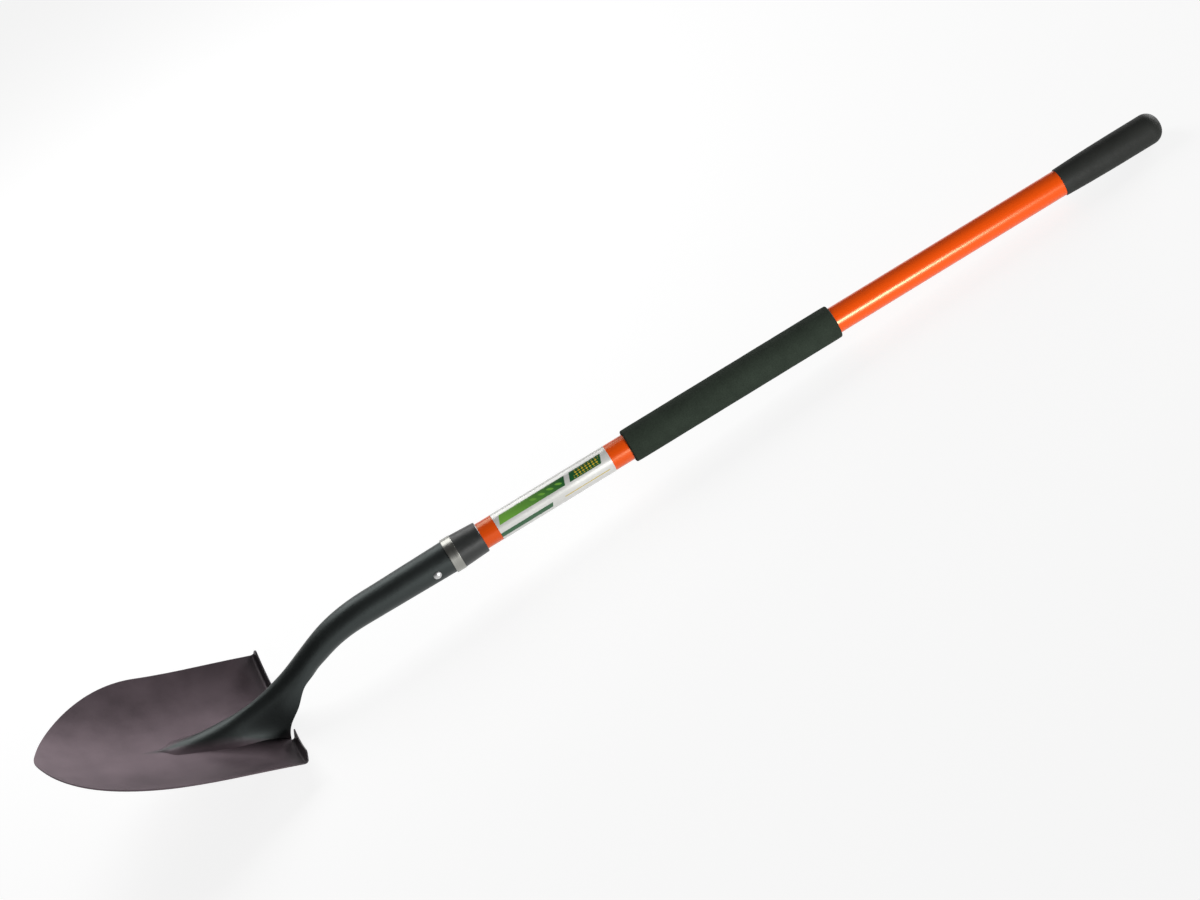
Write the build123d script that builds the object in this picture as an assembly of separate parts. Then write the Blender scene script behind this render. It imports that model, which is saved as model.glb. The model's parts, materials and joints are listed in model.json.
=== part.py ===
from build123d import *

import math
import os

# Round-point shovel with a long handle. All sizes are in millimetres and degrees.
# It is first laid out in the frame of its blade: the point of the blade is the origin, x runs from the point
# towards the handle, z stands off the hollow side of the blade, and the shovel is symmetric about y = 0.
# At the end it is laid down on the ground, hollow side up.

# Pressed steel sheet
SHEET = 1.9

# Blade: its sides run from the shoulders to the heel, and the dish is rounder at the point than at the heel
BLADE_LENGTH = 283.5
BLADE_WIDTH = 218.0
SHOULDER_WIDTH = 213.6
POINT_LENGTH = 145.0
POINT_POWER = 0.7
POINT_DISH_RADIUS = 178.0
HEEL_DISH_RADIUS = 246.0
DISH_DEPTH = 26.0
SWEEP_LENGTH = 195.0
HEEL_SLANT = 4.6

# Treads turned up at the heel; the sheet thins a little in their bend
TREAD_HEIGHT = 13.0
TREAD_BEND = 3.0
TREAD_THINNING = 0.15
TREAD_RELIEF = 6.0
TREAD_CORNER = 5.0

# Frog: the ridge that runs down from the neck into the blade, given by its half-section.
# The shares of its height go with shares of its half-width at the foot, near the nose and at the heel.
FROG_LENGTH = 146.5
FROG_FOOT = 28.0
FROG_POWER = 0.65
FROG_NOSE_ANGLE = 2.0
FROG_DEPTH_SHARES = (0.0, 0.1, 0.33, 0.74, 1.0)
FROG_NOSE_SHARES = (0.0, 0.32, 0.57, 0.85, 1.0)
FROG_HEEL_SHARES = (0.0, 0.3, 0.47, 0.66, 1.0)
FROG_NOSE_SHARE = 0.1
FROG_NOSE_HEIGHT = 0.3
FOOT_FLARE = 8.0
FOOT_DROP = 5.0
KEEL_DROP = 4.0
NOSE_RUNOUT = 16.0

# Open back of the frog: its edge goes up from the heel through these (run, rise) points to the neck's back
OPEN_BACK_POINTS = ((14.5, 37.0), (25.0, 62.0))

# Neck and crank, measured from the heel to the corner where the lines of neck and handle meet
CRANK_RUN = 71.1
CRANK_RISE = 94.3
CRANK_RADIUS = 165.0
NECK_ANGLE = 50.5
NECK_BORE = 13.4
HANDLE_ANGLE = 24.0

# Socket: tapered bore, closest to the handle at its lower end
SOCKET_LENGTH = 127.0
SOCKET_TAPER = 0.79
SOCKET_CLEARANCE = 0.35
SEAM_WIDTH = 1.4

# Handle tube and its core
HANDLE_DIAMETER = 32.0
HANDLE_WALL = 3.5
HANDLE_LENGTH = 1043.0
HANDLE_DEPTH = 105.0
CORE_LENGTH = 160.0

# Collar, band and rivet at the mouth of the socket
FIT = 0.1
EDGE = 0.8
SLEEVE_LENGTH = 62.0
COLLAR_LENGTH = 32.0
COLLAR_STEP = 0.9
COLLAR_WALL = 2.9
BAND_WIDTH = 12.0
BAND_THICKNESS = 1.3
BAND_ROUND = 0.45
RIVET_DEPTH = 33.5
RIVET_DIAMETER = 6.0
RIVET_HEAD_DIAMETER = 10.0
RIVET_HEAD_HEIGHT = 2.6

# Label, foam grip and end grip; the first two are placed from the top of the collar
LABEL_START = 20.5
LABEL_LENGTH = 151.0
LABEL_FILM = 0.25
FOAM_START = 196.7
FOAM_LENGTH = 277.4
FOAM_THICKNESS = 4.6
FOAM_ROUND = 1.6
GRIP_LENGTH = 135.2
GRIP_LIP = 1.1
GRIP_WALL = 2.7
GRIP_SWELL = 84.0
GRIP_END_WALL = 11.0
GRIP_ROUND = 16.0

# Places of the points round the blade's point, as shares of its length: closer towards the point
POINT_STEPS = 7
POINT_STATIONS = [(step / POINT_STEPS) ** 2 for step in range(POINT_STEPS + 1)]

# Places of the sections along the dish and the horn, as shares of each stretch and evenly spread so that the
# sheet runs smoothly through them, and of the points round the neck
DISH_STATIONS = (0.0, 0.14, 0.29, 0.43, 0.57, 0.71, 0.86, 1.0)
FROG_STATIONS = (0.14, 0.32, 0.5, 0.75, 1.0)
CLOSING_STATIONS = (0.35, 0.7, 1.0)
CRANK_STATIONS = (0.0, 0.33, 0.67, 1.0)
SOCKET_STATIONS = (0.17, 0.33, 0.5, 0.67, 0.83, 1.0)
TUBE_ANGLES = (0, 37, 70, 100, 130, 155, 180)

# Worked out from the sizes above
HALF_WIDTH = BLADE_WIDTH / 2
HALF_SHOULDER = SHOULDER_WIDTH / 2
HEEL_MIDDLE = BLADE_LENGTH + HALF_WIDTH * math.tan(math.radians(HEEL_SLANT))
HANDLE_RADIUS = HANDLE_DIAMETER / 2
NECK_RADIUS = NECK_BORE + SHEET
SWEEP_RADIUS = (SWEEP_LENGTH**2 + DISH_DEPTH**2) / (2 * DISH_DEPTH)
CRANK_TANGENT = CRANK_RADIUS * math.tan(math.radians(NECK_ANGLE - HANDLE_ANGLE) / 2)
MOUTH = CRANK_TANGENT + SOCKET_LENGTH
RIVET_PLACE = MOUTH - RIVET_DEPTH
HANDLE_FOOT = MOUTH - HANDLE_DEPTH
HANDLE_TOP = HANDLE_FOOT + HANDLE_LENGTH
COLLAR_TOP = MOUTH + COLLAR_LENGTH

# How far cutting tools go past what they cut: a little past an edge, or right through a piece
MARGIN = 20.0
REACH = 100.0

# How closely the angle is found at which the shovel lies on the ground
REST_TOLERANCE = 1e-4


def along(angle):
    """Direction in the plane of symmetry, at an angle above the blade."""
    return Vector(math.cos(math.radians(angle)), 0, math.sin(math.radians(angle)))


def above(angle):
    """Direction in the plane of symmetry, square to along(angle) and on the hollow side."""
    return Vector(-math.sin(math.radians(angle)), 0, math.cos(math.radians(angle)))


def dish_floor(x):
    """Height of the middle line of the dish: flat at the heel, an arc up to the point."""
    if x >= SWEEP_LENGTH:
        return -DISH_DEPTH
    return SWEEP_RADIUS - DISH_DEPTH - math.sqrt(SWEEP_RADIUS**2 - (SWEEP_LENGTH - x) ** 2)


# Corner of the crank, and the frame of the handle: its z is the handle's axis and its x is across the shovel
CORNER = Vector(BLADE_LENGTH + CRANK_RUN, 0, CRANK_RISE)
HANDLE_FRAME = Plane(origin=CORNER, x_dir=(0, 1, 0), z_dir=along(HANDLE_ANGLE))

# The crest of the frog is one arc, from the nose up to the front of the neck
NOSE_X = BLADE_LENGTH - FROG_LENGTH
NOSE = Vector(NOSE_X, 0, dish_floor(NOSE_X))
NECK_TOP = CORNER - along(NECK_ANGLE) * CRANK_TANGENT
NECK_FRONT = NECK_TOP + above(NECK_ANGLE) * NECK_RADIUS
CREST_TURN = math.radians(NECK_ANGLE - FROG_NOSE_ANGLE)
CREST_RADIUS = (NOSE - NECK_FRONT).dot(above(NECK_ANGLE)) / (1 - math.cos(CREST_TURN))
CREST_CENTRE = NOSE + above(FROG_NOSE_ANGLE) * CREST_RADIUS
HEEL_ANGLE = math.degrees(math.atan2(BLADE_LENGTH - CREST_CENTRE.X, CREST_CENTRE.Z + DISH_DEPTH))


# Blade


def blade_outline():
    """Flat outline of the blade: a round point, sides that open a little, and a heel slanted both ways."""
    half = [(POINT_LENGTH * u, HALF_SHOULDER * (1 - (1 - u) ** 2) ** POINT_POWER) for u in POINT_STATIONS]
    other = [(x, -y) for x, y in reversed(half[1:])]
    heel = [(BLADE_LENGTH, HALF_WIDTH), (HEEL_MIDDLE, 0), (BLADE_LENGTH, -HALF_WIDTH)]
    return make_face([Spline(*other, *half), Polyline(half[-1], *heel, other[0])])


def dish_radius(x):
    """Radius of the dish across the blade."""
    return POINT_DISH_RADIUS + (HEEL_DISH_RADIUS - POINT_DISH_RADIUS) * x / BLADE_LENGTH


def dish_layer(upper, lower):
    """Layer that follows the dish, between two depths below its face, longer and wider than the blade."""
    sections = []
    for share in DISH_STATIONS:
        x = (HEEL_MIDDLE + 2 * MARGIN) * share - MARGIN
        radius = dish_radius(x)
        spread = math.degrees(math.asin((HALF_WIDTH + MARGIN) / radius))
        centre = (0, dish_floor(x) + radius)
        top = CenterArc(centre, radius + upper, -90 - spread, 2 * spread)
        bottom = CenterArc(centre, radius + lower, -90 - spread, 2 * spread)
        edges = [top, Line(top @ 1, bottom @ 1), bottom, Line(bottom @ 0, top @ 0)]
        sections.append(Plane.YZ.offset(x) * make_face(edges))
    return loft(sections)


def tread(side):
    """Flange bent up along the heel on one side, turned about an axis square to the heel."""
    slant = math.radians(HEEL_SLANT)
    radius = HEEL_DISH_RADIUS / math.cos(slant) ** 2
    gauge = SHEET - 2 * TREAD_THINNING
    centre = (0, TREAD_BEND - radius - TREAD_THINNING)
    face = CenterArc(centre, TREAD_BEND, -90, 90)
    back = CenterArc(centre, TREAD_BEND + gauge, -90, 90)
    top = TREAD_HEIGHT - radius
    flange = Polyline(face @ 1, (TREAD_BEND, top), (TREAD_BEND + gauge, top), back @ 1)
    section = Plane.XZ * make_face([face, flange, back, Line(back @ 0, face @ 0)])
    ends = (FROG_FOOT + TREAD_RELIEF, HALF_WIDTH)
    first, last = (math.degrees(math.asin(end / math.cos(slant) / radius)) for end in ends)
    flange = revolve(section.rotate(Axis.X, side * first), Axis.X, side * (last - first))
    corner = flange.edges().filter_by(Axis.X).sort_by(lambda edge: side * edge.center().Y)[-1]
    flange = Rot(0, 0, side * HEEL_SLANT) * fillet(corner, TREAD_CORNER)
    return Pos(HEEL_MIDDLE, 0, radius - DISH_DEPTH) * flange


# Frog, neck and crank, made as one horn


def crest(angle):
    """Point of the frog's crest where it climbs at an angle."""
    return CREST_CENTRE - above(angle) * CREST_RADIUS


def frog_profile(top, angle, gauge):
    """Half-section of the frog square to its crest, as (half-width, depth below the crest) points.

    It is moved inwards by a gauge of sheet. Its last point is on the keel, below the blade.
    """
    rise = math.radians(angle)
    height = max((top.Z - dish_floor(top.X)) / math.cos(rise), FROG_NOSE_HEIGHT)
    foot_x = top.X + height * math.sin(rise)
    share = min(max((foot_x - NOSE.X) / FROG_LENGTH, FROG_NOSE_SHARE), 1)
    foot = FROG_FOOT * (1 - (1 - share) ** 2) ** FROG_POWER
    widths = [near + (far - near) * share for near, far in zip(FROG_NOSE_SHARES, FROG_HEEL_SHARES)]
    points = [(foot * width, height * depth) for width, depth in zip(widths, FROG_DEPTH_SHARES)]
    points.append((foot + FOOT_FLARE, height + FOOT_DROP))
    return inset(points, gauge) + [(0, height + FOOT_DROP + KEEL_DROP)]


def tube_profile(radius, gauge):
    """Half-section of the neck or the socket, with as many points as the frog's."""
    turns = [math.radians(angle) for angle in TUBE_ANGLES]
    inner = radius - gauge
    return [(inner * math.sin(turn), radius - inner * math.cos(turn)) for turn in turns]


def blend(first, second, share):
    """Half-section between two others."""
    pairs = zip(first, second)
    return [(a[0] + (b[0] - a[0]) * share, a[1] + (b[1] - a[1]) * share) for a, b in pairs]


def inset(profile, gauge):
    """Half-section moved inwards by the gauge of the sheet."""
    points = [Vector(width, depth) for width, depth in profile]
    steps = [(after - before).normalized() for before, after in zip(points, points[1:])]
    first = Vector(steps[0].X, -steps[0].Y)
    moved = []
    for before, point, after in zip([first] + steps, points, steps + [steps[-1]]):
        course = (before + after).normalized()
        moved.append((point.X - gauge * course.Y, point.Y + gauge * course.X))
    return moved


def horn_section(top, angle, profile):
    """Closed section square to the horn, hung from its highest point."""
    *right, keel = [(width, -depth) for width, depth in profile]
    left = [(-width, height) for width, height in reversed(right[1:])]
    arch = Spline(*left, *right)
    back = ThreePointArc(arch @ 1, keel, arch @ 0)
    return Plane(origin=top, x_dir=(0, 1, 0), z_dir=along(angle)) * make_face([arch, back])


def horn(gauge):
    """Solid horn from the frog's nose to past the socket's mouth, inset by a gauge of sheet."""
    stations = [(NOSE - along(FROG_NOSE_ANGLE) * NOSE_RUNOUT, FROG_NOSE_ANGLE)]
    for share in FROG_STATIONS:
        angle = FROG_NOSE_ANGLE + (HEEL_ANGLE - FROG_NOSE_ANGLE) * share
        stations.append((crest(angle), angle))
    sections = [(top, angle, frog_profile(top, angle, gauge)) for top, angle in stations]
    at_heel, at_neck = sections[-1][2], tube_profile(NECK_RADIUS, gauge)
    for share in CLOSING_STATIONS:
        angle = HEEL_ANGLE + (NECK_ANGLE - HEEL_ANGLE) * share
        sections.append((crest(angle), angle, blend(at_heel, at_neck, share)))
    crank_centre = NECK_TOP - above(NECK_ANGLE) * CRANK_RADIUS
    socket_radius = socket_bore(CRANK_TANGENT) + SHEET
    for share in CRANK_STATIONS:
        angle = NECK_ANGLE + (HANDLE_ANGLE - NECK_ANGLE) * share
        radius = NECK_RADIUS + (socket_radius - NECK_RADIUS) * share
        top = crank_centre + above(angle) * (CRANK_RADIUS + radius)
        sections.append((top, angle, tube_profile(radius, gauge)))
    for share in SOCKET_STATIONS:
        distance = CRANK_TANGENT + (SOCKET_LENGTH + MARGIN) * share
        radius = socket_bore(distance) + SHEET
        top = CORNER + along(HANDLE_ANGLE) * distance + above(HANDLE_ANGLE) * radius
        sections.append((top, HANDLE_ANGLE, tube_profile(radius, gauge)))
    return loft([horn_section(*section) for section in sections])


# Socket


def socket_bore(distance):
    """Radius of the socket's bore at a distance up the handle from the corner of the crank."""
    return HANDLE_RADIUS + SOCKET_CLEARANCE + (distance - HANDLE_FOOT) * math.tan(math.radians(SOCKET_TAPER))


def socket_cone(start, end, outwards):
    """Frustum that follows the bore of the socket between two distances, grown outwards."""
    low, high = socket_bore(start) + outwards, socket_bore(end) + outwards
    frustum = Cone(low, high, end - start, align=(Align.CENTER, Align.CENTER, Align.MIN))
    return HANDLE_FRAME * Pos(0, 0, start) * frustum


def open_back():
    """Tool that opens the back of the frog, from the heel up to where the neck closes."""
    heel = Vector(HEEL_MIDDLE - FROG_FOOT * math.tan(math.radians(HEEL_SLANT)), 0, -DISH_DEPTH - SHEET)
    points = [heel + Vector(run, 0, rise) for run, rise in OPEN_BACK_POINTS]
    neck_back = NECK_TOP - above(NECK_ANGLE) * NECK_RADIUS
    edge = Spline(heel, *points, neck_back, tangents=[(0, 0, 1), along(NECK_ANGLE)])
    low = heel - Vector(0, 0, REACH)
    rest = Polyline(neck_back, neck_back - above(NECK_ANGLE) * REACH, low + Vector(REACH), low, heel)
    return extrude(make_face([edge, rest]), REACH, both=True)


def seam():
    """Slit down the back of the neck and the socket, where the rolled edges meet."""
    middle = [
        (crest(NECK_ANGLE) - above(NECK_ANGLE) * NECK_RADIUS, NECK_ANGLE),
        (NECK_TOP, NECK_ANGLE),
        (CORNER + along(HANDLE_ANGLE) * CRANK_TANGENT, HANDLE_ANGLE),
        (CORNER + along(HANDLE_ANGLE) * (MOUTH + MARGIN), HANDLE_ANGLE),
    ]
    behind = [place - above(angle) * REACH for place, angle in middle]
    strip = make_face(Polyline(*[place for place, angle in middle], *reversed(behind), close=True))
    return extrude(strip, SEAM_WIDTH / 2, both=True)


def rivet_pin(diameter, length):
    """Pin across the handle at the rivet."""
    return HANDLE_FRAME * Pos(0, 0, RIVET_PLACE) * Rot(0, 90, 0) * Cylinder(diameter / 2, length)


RIVET_HOLE = rivet_pin(RIVET_DIAMETER + 2 * FIT, REACH)


def shovel_head():
    """Blade, frog, neck, socket and treads, pressed from one sheet."""
    slab = extrude(Pos(0, 0, -REACH) * blade_outline(), 2 * REACH) & dish_layer(0, SHEET + MARGIN)
    head = slab + horn(0)
    head -= dish_layer(SHEET, SHEET + REACH)
    head -= horn(SHEET)
    head -= socket_cone(MOUTH, MOUTH + REACH, MARGIN)
    head -= open_back()
    head -= seam()
    head -= RIVET_HOLE
    return head + tread(1) + tread(-1)


# Pieces on the handle


def turned(*edges):
    """Solid turned round the handle's axis from edges drawn as (radius, distance)."""
    return HANDLE_FRAME * revolve(Plane.XZ * make_face(edges), Axis.Z)


def sleeve(start, end, inner, outer):
    """Plain sleeve round the handle's axis."""
    return turned(Polyline((inner, start), (outer, start), (outer, end), (inner, end), close=True))


def socket_band():
    """Bright band round the mouth of the socket."""
    start = MOUTH - BAND_WIDTH
    inner = SHEET + FIT
    outer = socket_bore(MOUTH) + inner + BAND_THICKNESS
    band = sleeve(start, MOUTH, 0, outer)
    band = fillet(band.edges().filter_by(GeomType.CIRCLE), BAND_ROUND)
    return band - socket_cone(start - MARGIN, MOUTH + MARGIN, inner)


def collar_bush():
    """Plastic collar: a sleeve between socket and handle, and a tapered nose above the mouth."""
    inner = HANDLE_RADIUS + FIT
    base = socket_bore(MOUTH) + SHEET + COLLAR_STEP
    top = HANDLE_RADIUS + COLLAR_WALL
    low = MOUTH - SLEEVE_LENGTH
    outline = Polyline(
        (inner, low),
        (socket_bore(low) - FIT, low),
        (socket_bore(MOUTH) - FIT, MOUTH),
        (base, MOUTH),
        (top, COLLAR_TOP - EDGE),
        (top - EDGE, COLLAR_TOP),
        (inner, COLLAR_TOP),
        close=True,
    )
    return turned(outline) - RIVET_HOLE


def socket_rivet():
    """Rivet from side to side, its two heads formed to the socket."""
    outside = socket_bore(RIVET_PLACE) + SHEET
    radius = RIVET_HEAD_DIAMETER / 2
    seat = math.sqrt(outside**2 - radius**2)
    tip = outside + RIVET_HEAD_HEIGHT
    ball = (radius**2 + RIVET_HEAD_HEIGHT**2) / (2 * RIVET_HEAD_HEIGHT)
    spread = math.degrees(math.asin(radius / ball))
    dome = CenterArc((0, tip - ball), ball, 90 - spread, spread)
    rim = Polyline((0, tip), (0, seat), (radius, seat), (radius, outside))
    head = revolve(Plane.XZ * make_face([dome, rim]), Axis.Z)
    heads = Rot(0, 90, 0) * head + Rot(0, -90, 0) * head
    heads = HANDLE_FRAME * Pos(0, 0, RIVET_PLACE) * heads
    heads -= socket_cone(RIVET_PLACE - MARGIN, RIVET_PLACE + MARGIN, SHEET + FIT)
    return heads + rivet_pin(RIVET_DIAMETER, 2 * outside)


def handle_tube():
    """Fibreglass tube, chamfered at its lower end."""
    inner = HANDLE_RADIUS - HANDLE_WALL
    outline = Polyline(
        (inner, HANDLE_FOOT),
        (HANDLE_RADIUS - EDGE, HANDLE_FOOT),
        (HANDLE_RADIUS, HANDLE_FOOT + EDGE),
        (HANDLE_RADIUS, HANDLE_TOP),
        (inner, HANDLE_TOP),
        close=True,
    )
    return turned(outline) - RIVET_HOLE


def core_plug():
    """Hardwood plug in the lower end of the tube."""
    radius = HANDLE_RADIUS - HANDLE_WALL - FIT
    return sleeve(HANDLE_FOOT, HANDLE_FOOT + CORE_LENGTH, 0, radius) - RIVET_HOLE


def label_sleeve():
    """Film label round the handle."""
    start = COLLAR_TOP + LABEL_START
    inner = HANDLE_RADIUS + FIT / 2
    return sleeve(start, start + LABEL_LENGTH, inner, inner + LABEL_FILM)


def foam_grip():
    """Foam sleeve with soft ends."""
    start = COLLAR_TOP + FOAM_START
    inner = HANDLE_RADIUS + FIT
    foam = sleeve(start, start + FOAM_LENGTH, 0, HANDLE_RADIUS + FOAM_THICKNESS)
    foam = fillet(foam.edges().filter_by(GeomType.CIRCLE), FOAM_ROUND)
    return foam - sleeve(start - MARGIN, start + FOAM_LENGTH + MARGIN, 0, inner)


def end_grip():
    """Rubber cap: thin at its lip, fuller towards its domed end."""
    floor = HANDLE_TOP + FIT
    end = floor + GRIP_END_WALL
    start = end - GRIP_LENGTH
    inner = HANDLE_RADIUS + FIT
    lip, full = HANDLE_RADIUS + GRIP_LIP, HANDLE_RADIUS + GRIP_WALL
    corner = (full - GRIP_ROUND, end - GRIP_ROUND)
    slope = (full - lip, GRIP_SWELL)
    swell = Spline((lip, start), (full, start + GRIP_SWELL), tangents=[slope, (0, 1)])
    side = Line((full, start + GRIP_SWELL), (full, end - GRIP_ROUND))
    dome = CenterArc(corner, GRIP_ROUND, 0, 90)
    cap = Polyline(dome @ 1, (0, end), (0, floor), (inner, floor), (inner, start), (lip, start))
    return turned(swell, side, dome, cap)


# Laid on the ground, hollow side up: the heel and the end grip touch it


def resting_angle(head, grip):
    """Angle to turn the shovel about y so that head and grip are equally low."""

    def difference(angle):
        heights = [piece.rotate(Axis.Y, angle).bounding_box().min.Z for piece in (head, grip)]
        return heights[0] - heights[1]

    low, high = 0.0, 90.0 - HANDLE_ANGLE
    while high - low > REST_TOLERANCE:
        middle = (low + high) / 2
        if difference(middle) < 0:
            low = middle
        else:
            high = middle
    return (low + high) / 2


pieces = {
    "shovel_head": shovel_head(),
    "socket_band": socket_band(),
    "collar_bush": collar_bush(),
    "socket_rivet": socket_rivet(),
    "handle_tube": handle_tube(),
    "core_plug": core_plug(),
    "label_sleeve": label_sleeve(),
    "foam_grip": foam_grip(),
    "end_grip": end_grip(),
}
tilt = resting_angle(pieces["shovel_head"], pieces["end_grip"])
laid = {name: piece.rotate(Axis.Y, tilt) for name, piece in pieces.items()}
box = Compound(list(laid.values())).bounding_box()
ground = Vector(box.center().X, box.center().Y, box.min.Z)

os.makedirs("parts", exist_ok=True)
for name, piece in laid.items():
    export_step(piece.moved(Location(-ground)), f"parts/{name}.step")

print("resting angle", round(tilt, 3), "origin from the point of the blade", ground)
print("overall size", box.size)
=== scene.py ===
"""Long-handled round-point shovel: finishes, soft grips, studio and camera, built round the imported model.

Everything is in metres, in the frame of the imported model: x runs from the blade's point to the handle's end,
y across the blade, and z up from the ground that the shovel lies on.
"""

import json
import logging
import math
from dataclasses import dataclass
from enum import Enum

import bmesh
import bpy
from mathutils import Matrix, Vector, noise


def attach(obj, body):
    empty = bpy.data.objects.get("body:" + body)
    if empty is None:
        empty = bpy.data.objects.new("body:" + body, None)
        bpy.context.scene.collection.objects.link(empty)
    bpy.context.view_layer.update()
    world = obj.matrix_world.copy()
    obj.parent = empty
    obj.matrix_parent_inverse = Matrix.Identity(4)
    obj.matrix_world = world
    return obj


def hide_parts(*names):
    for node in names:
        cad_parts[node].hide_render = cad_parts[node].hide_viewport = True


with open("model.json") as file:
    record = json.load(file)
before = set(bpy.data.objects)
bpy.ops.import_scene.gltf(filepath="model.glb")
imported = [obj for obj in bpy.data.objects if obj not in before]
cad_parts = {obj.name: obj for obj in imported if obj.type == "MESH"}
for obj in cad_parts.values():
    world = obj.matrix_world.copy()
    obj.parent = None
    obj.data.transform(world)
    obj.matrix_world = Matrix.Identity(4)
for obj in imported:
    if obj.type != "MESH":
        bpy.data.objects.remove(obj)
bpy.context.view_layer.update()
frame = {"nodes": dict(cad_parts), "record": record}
LOG = logging.getLogger("shovel")

Pair = tuple[float, float]
Triple = tuple[float, float, float]
Colour = Triple
Socket = bpy.types.NodeSocket
Value = Socket | float | tuple[float, ...]
Inputs = dict[str | int, Value]

BODY = "root"
MM = 0.001
WHITE = (1.0, 1.0, 1.0, 1.0)


class Slot(Enum):
    """The record's material slots."""

    HEAD = "head_paint"
    BAND = "bright_band"
    COLLAR = "collar_plastic"
    RIVET = "rivet_steel"
    HANDLE = "handle_resin"
    CORE = "core_wood"
    LABEL = "label_film"
    FOAM = "grip_foam"
    RUBBER = "grip_rubber"


# The line of the handle


@dataclass(frozen=True)
class HandleLine:
    """The handle's own frame: it starts at the middle of the foam grip and runs along the handle's axis.

    Attributes:
        middle: middle of the foam grip.
        axis: direction towards the end grip.
        end: distance from the middle to the far end of the end grip.
    """

    middle: Vector
    axis: Vector
    end: float

    @classmethod
    def from_record(cls, record: dict) -> "HandleLine":
        """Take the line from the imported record's mounts.

        Args:
            record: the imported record.

        Returns:
            The line of the handle.
        """
        mounts = {mount["name"]: mount for mount in record["mounts"]}
        middle = Vector(mounts["foam_hold"]["pos_m"])
        axis = Vector(mounts["foam_hold"]["axis"]).normalized()
        end = (Vector(mounts["grip_end"]["pos_m"]) - middle).dot(axis)
        return cls(middle, axis, end)

    @property
    def side(self) -> Vector:
        """Direction across the shovel."""
        return Vector((0.0, 1.0, 0.0))

    @property
    def rise(self) -> Vector:
        """Direction square to the handle, on its upper side."""
        return self.axis.cross(self.side)

    def matrix(self) -> Matrix:
        """Matrix from (along, side, rise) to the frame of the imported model."""
        turn = Matrix((self.axis, self.side, self.rise)).transposed().to_4x4()
        return Matrix.Translation(self.middle) @ turn


LINE = HandleLine.from_record(frame["record"])


# Node wiring


@dataclass
class Wiring:
    """Places and joins the nodes of one material, node group or world.

    Attributes:
        tree: the node tree that is wired.
    """

    tree: bpy.types.NodeTree

    def add(self, kind: str, inputs: Inputs | None = None, **settings: object) -> bpy.types.Node:
        """Place a node.

        Args:
            kind: the node's type name, without its ShaderNode prefix.
            inputs: values or sockets for its inputs, by name or by place.
            settings: properties of the node.

        Returns:
            The new node.
        """
        node = self.tree.nodes.new("ShaderNode" + kind)
        for name, setting in settings.items():
            setattr(node, name, setting)
        for key, value in (inputs or {}).items():
            self.feed(node.inputs[key], value)
        return node

    def feed(self, socket: Socket, value: Value) -> None:
        """Join a socket to an input, or set the input's own value.

        Args:
            socket: the input.
            value: an output socket, a number, a colour or a vector.
        """
        if isinstance(value, bpy.types.NodeSocket):
            self.tree.links.new(value, socket)
        elif socket.type == "RGBA" and len(value) == 3:
            socket.default_value = (*value, 1.0)
        else:
            socket.default_value = value

    def math(self, operation: str, *values: Value) -> Socket:
        """Work out a number from others.

        Args:
            operation: the Math node's operation.
            values: its inputs.

        Returns:
            The result.
        """
        return self.add("Math", dict(enumerate(values)), operation=operation).outputs[0]

    def blend(self, factor: Value, first: Value, second: Value) -> Socket:
        """Mix two colours.

        Args:
            factor: share of the second colour.
            first: colour at 0.
            second: colour at 1.

        Returns:
            The mixed colour.
        """
        return self.add("Mix", {0: factor, 6: first, 7: second}, data_type="RGBA").outputs[2]

    def span(self, value: Value, low: float, high: float, first: float = 0.0, last: float = 1.0) -> Socket:
        """Map a number from one range to another, held at both ends.

        Args:
            value: the number.
            low: start of its range.
            high: end of its range.
            first: result at the start.
            last: result at the end.

        Returns:
            The mapped number.
        """
        return self.add("MapRange", {0: value, 1: low, 2: high, 3: first, 4: last}, clamp=True).outputs[0]

    def effect(self, group: bpy.types.NodeTree, inputs: Inputs | None = None) -> bpy.types.Node:
        """Place a shared effect.

        Args:
            group: the effect's node group.
            inputs: values or sockets for its inputs.

        Returns:
            The group's node.
        """
        return self.add("Group", inputs, node_tree=group)


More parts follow.
